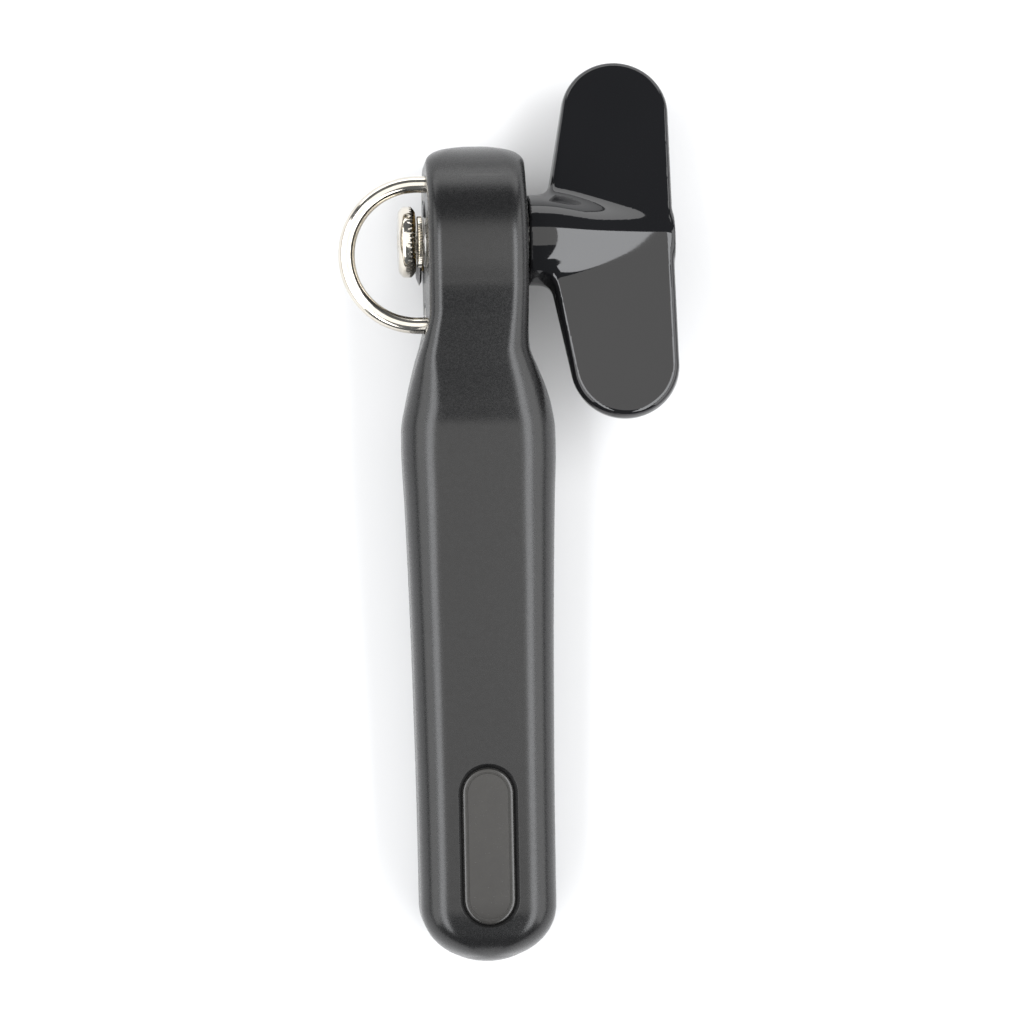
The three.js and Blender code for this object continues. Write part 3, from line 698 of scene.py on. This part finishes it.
def satin_charcoal():
    """Moulded plastic with a fine spark-eroded grain."""
    mat, tree, shader = material("satin_charcoal", (0.006, 0.006, 0.0062), roughness=0.27)
    tree.links.new(spread(tree, noise(tree, 2600, 2), 0.23, 0.31), shader.inputs["Roughness"])
    tinted(tree, shader, spread(tree, noise(tree, 900, 4), 0, 1), (0.0042, 0.0041, 0.0042), (0.0062, 0.0061, 0.0062))
    bump(tree, shader, noise(tree, 2600, 4), 0.22, 0.00004)
    worn(tree, shader, (0.011, 0.0108, 0.0105), 0.2)
    return mat


def gloss_black():
    mat, tree, shader = material("gloss_black", (0.004, 0.004, 0.0046), roughness=0.05, ior=1.5)
    tree.links.new(spread(tree, noise(tree, 60, 4), 0.035, 0.075), shader.inputs["Roughness"])
    tinted(tree, shader, noise(tree, 40, 2), (0.0035, 0.0035, 0.004), (0.005, 0.005, 0.0055))
    bump(tree, shader, noise(tree, 55, 2), 0.05, 0.0004)
    worn(tree, shader, (0.009, 0.009, 0.0095), 0.12)
    return mat


def badge_grey():
    mat, tree, shader = material("badge_grey", (0.02, 0.019, 0.018), roughness=0.22)
    tree.links.new(spread(tree, noise(tree, 1500, 3), 0.18, 0.28), shader.inputs["Roughness"])
    tinted(tree, shader, noise(tree, 500, 3), (0.018, 0.017, 0.016), (0.024, 0.023, 0.021))
    bump(tree, shader, noise(tree, 4000, 2), 0.1, 0.00002)
    return mat


def polished_steel():
    """Bright nickel plate over turned steel, with faint draw lines."""
    mat, tree, shader = material("polished_steel", (0.62, 0.585, 0.52), metallic=1.0, roughness=0.1)
    tree.links.new(spread(tree, noise(tree, 700, 5), 0.07, 0.17), shader.inputs["Roughness"])
    tinted(tree, shader, noise(tree, 350, 4), (0.55, 0.51, 0.44), (0.68, 0.645, 0.58))
    bump(tree, shader, noise(tree, 1800, 3, (1, 1, 4)), 0.08, 0.00002)
    worn(tree, shader, (0.72, 0.69, 0.63), 0.06)
    return mat


def steel():
    mat, tree, shader = material("zinc_steel", (0.5, 0.49, 0.47), metallic=1.0, roughness=0.3)
    tree.links.new(spread(tree, noise(tree, 900, 5), 0.22, 0.4), shader.inputs["Roughness"])
    tinted(tree, shader, noise(tree, 500, 4), (0.42, 0.41, 0.39), (0.58, 0.57, 0.55))
    bump(tree, shader, noise(tree, 2500, 3, (6, 1, 1)), 0.12, 0.00002)
    worn(tree, shader, (0.68, 0.67, 0.65), 0.15)
    return mat


def hardened_steel():
    mat, tree, shader = material("hardened_steel", (0.1, 0.1, 0.105), metallic=1.0, roughness=0.3)
    tree.links.new(spread(tree, noise(tree, 1100, 5), 0.22, 0.4), shader.inputs["Roughness"])
    tinted(tree, shader, noise(tree, 700, 4), (0.07, 0.07, 0.075), (0.15, 0.148, 0.145))
    bump(tree, shader, noise(tree, 3000, 3, (6, 1, 1)), 0.12, 0.00002)
    worn(tree, shader, (0.3, 0.3, 0.295), 0.16)
    return mat


def bronze():
    mat, tree, shader = material("sintered_bronze", (0.5, 0.36, 0.16), metallic=1.0, roughness=0.4)
    tinted(tree, shader, noise(tree, 2500, 4), (0.36, 0.25, 0.1), (0.58, 0.42, 0.2))
    tree.links.new(spread(tree, noise(tree, 3000, 4), 0.3, 0.5), shader.inputs["Roughness"])
    bump(tree, shader, noise(tree, 3500, 4), 0.3, 0.00003)
    return mat


def nylon():
    mat, tree, shader = material("natural_nylon", (0.6, 0.58, 0.52), roughness=0.5)
    tinted(tree, shader, noise(tree, 400, 3), (0.55, 0.53, 0.47), (0.66, 0.64, 0.58))
    bump(tree, shader, noise(tree, 2500, 3), 0.1, 0.00002)
    return mat


looks = {
    "satin_charcoal": satin_charcoal(), "gloss_black": gloss_black(), "badge_grey": badge_grey(),
    "polished_steel": polished_steel(), "steel": steel(), "hardened_steel": hardened_steel(), "brass": bronze(),
    "nylon": nylon(),
}
slot_of = {part["node"]: part["material_slot"] for part in frame["record"]["subparts"]}
body_of = {node: body for body, nodes in frame["record"]["behaviour"]["bodies"].items() for node in nodes}


def stands_for(obj, node):
    """The fine piece takes the CAD node's body, slot and material."""
    obj.data.materials.clear()
    obj.data.materials.append(looks[slot_of[node]])
    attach(obj, body_of[node])
    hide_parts(node)


# ---- Making ----

for node, obj in frame["nodes"].items():
    obj.data.materials.clear()
    obj.data.materials.append(looks[slot_of[node]])

front, back = shells()
stands_for(front, "front_shell")
stands_for(back, "back_shell")
stands_for(side_cover(), "side_cover")
stands_for(badge_plate(), "badge_plate")
stands_for(knob_bezel(), "knob_bezel")
stands_for(guide_loop(), "guide_loop")
stands_for(feed_flange(), "feed_flange")
stands_for(feed_wheel(), "feed_wheel")
stands_for(cutter_wheel(), "cutter_wheel")
stands_for(cutter_axle(), "cutter_axle")
stands_for(drive_shaft(), "drive_shaft")
stands_for(hub_washer(), "hub_washer")
stands_for(knob(), "knob")
for name, (x, y) in SHELL_SCREWS.items():
    seat = -half_depth(y) + SCREW_SEAT
    screw = screw_head(name + "_fine", 2.6, 1.9, 1.1, 7.2 - seat)
    stands_for(moved(screw, x, y, seat - 0.3), name)
for name, (y, z) in PLATE_SCREWS.items():
    screw = screw_head(name + "_fine", 2.5, 0.9, 1.1, 7.4)
    stands_for(moved(screw, -HEAD_HALF_WIDTH + 0.9, y, z, "x"), name)


# ---- Stage ----

def floor():
    size = 3.0
    obj = new_object("floor", [(-size, -size, 0), (size, -size, 0), (size, size, 0), (-size, size, 0)],
                     [(0, 1, 2, 3)], Matrix.Identity(4))
    mat, tree, shader = material("pale_floor", (0.6, 0.6, 0.6), roughness=0.8)
    obj.data.materials.append(mat)


def softbox(name, centre, across, along_it, radiance, color=(1, 1, 1)):
    """A flat, even panel; it shines to the side that across x along_it points away from."""
    across, along_it = Vector(across), Vector(along_it)
    data = bpy.data.lights.new(name, "AREA")
    data.shape = "RECTANGLE"
    data.size, data.size_y = across.length, along_it.length
    data.energy = radiance * 4 * across.length * along_it.length
    data.color = color
    obj = bpy.data.objects.new(name, data)
    x, y = across.normalized(), along_it.normalized()
    obj.matrix_world = Matrix((x, y, x.cross(y))).transposed().to_4x4()
    obj.matrix_world.translation = Vector(centre)
    bpy.context.scene.collection.objects.link(obj)


def studio():
    world = bpy.data.worlds.new("studio")
    bpy.context.scene.world = world
    world.use_nodes = True
    background = world.node_tree.nodes["Background"]
    background.inputs["Color"].default_value = (0.88, 0.93, 1, 1)
    background.inputs["Strength"].default_value = 0.2
    softbox("overhead", (0, 0.105, 1), (0.74, 0, 0), (0, 0.85, 0), 1.35, (1, 0.985, 0.96))
    softbox("left_strip", (-0.66, -0.49, 1), (0.58, 0, 0), (0, 2.0, 0), 5.3, (0.97, 0.98, 1))
    softbox("right_strip", (0.66, -0.49, 1), (0.58, 0, 0), (0, 2.0, 0), 5.3, (0.97, 0.98, 1))
    softbox("left_wall", (-1, -0.1, 0.56), (0, 1.6, 0), (0, 0, -0.76), 2.2)
    softbox("right_wall", (1, -0.1, 0.56), (0, 1.6, 0), (0, 0, 0.76), 2.2)
    softbox("top_wall", (0, 1.0, 0.24), (1.8, 0, 0), (0, 0, -0.42), 2.2)
    bpy.context.scene.view_settings.view_transform = "Standard"


def camera():
    """Looks down on the handle's front face, a little from the left, from 0.85 m."""
    data = bpy.data.cameras.new("camera")
    obj = bpy.data.objects.new("camera", data)
    distance = 0.85
    yaw, pitch, lean = math.radians(3.7), math.radians(-1.0), math.radians(-1.15)
    normal = Vector((0, -math.sin(TILT), math.cos(TILT)))
    up = Vector((0, math.cos(TILT), math.sin(TILT)))
    across = Vector((1, 0, 0))
    back = (normal * math.cos(yaw) * math.cos(pitch) - across * math.sin(yaw) + up * math.sin(pitch)).normalized()
    right = up.cross(back).normalized()
    top = back.cross(right)
    lens_right = right * math.cos(lean) + top * math.sin(lean)
    lens_top = top * math.cos(lean) - right * math.sin(lean)
    picture_width = 0.22528
    middle = drive_point + right * 0.00715 - top * 0.05973
    obj.matrix_world = Matrix((lens_right, lens_top, back)).transposed().to_4x4()
    obj.matrix_world.translation = middle + back * distance
    data.sensor_width = 36
    data.lens = data.sensor_width * distance / picture_width
    data.clip_start = 0.01
    bpy.context.scene.collection.objects.link(obj)
    bpy.context.scene.camera = obj


floor()
studio()
camera()
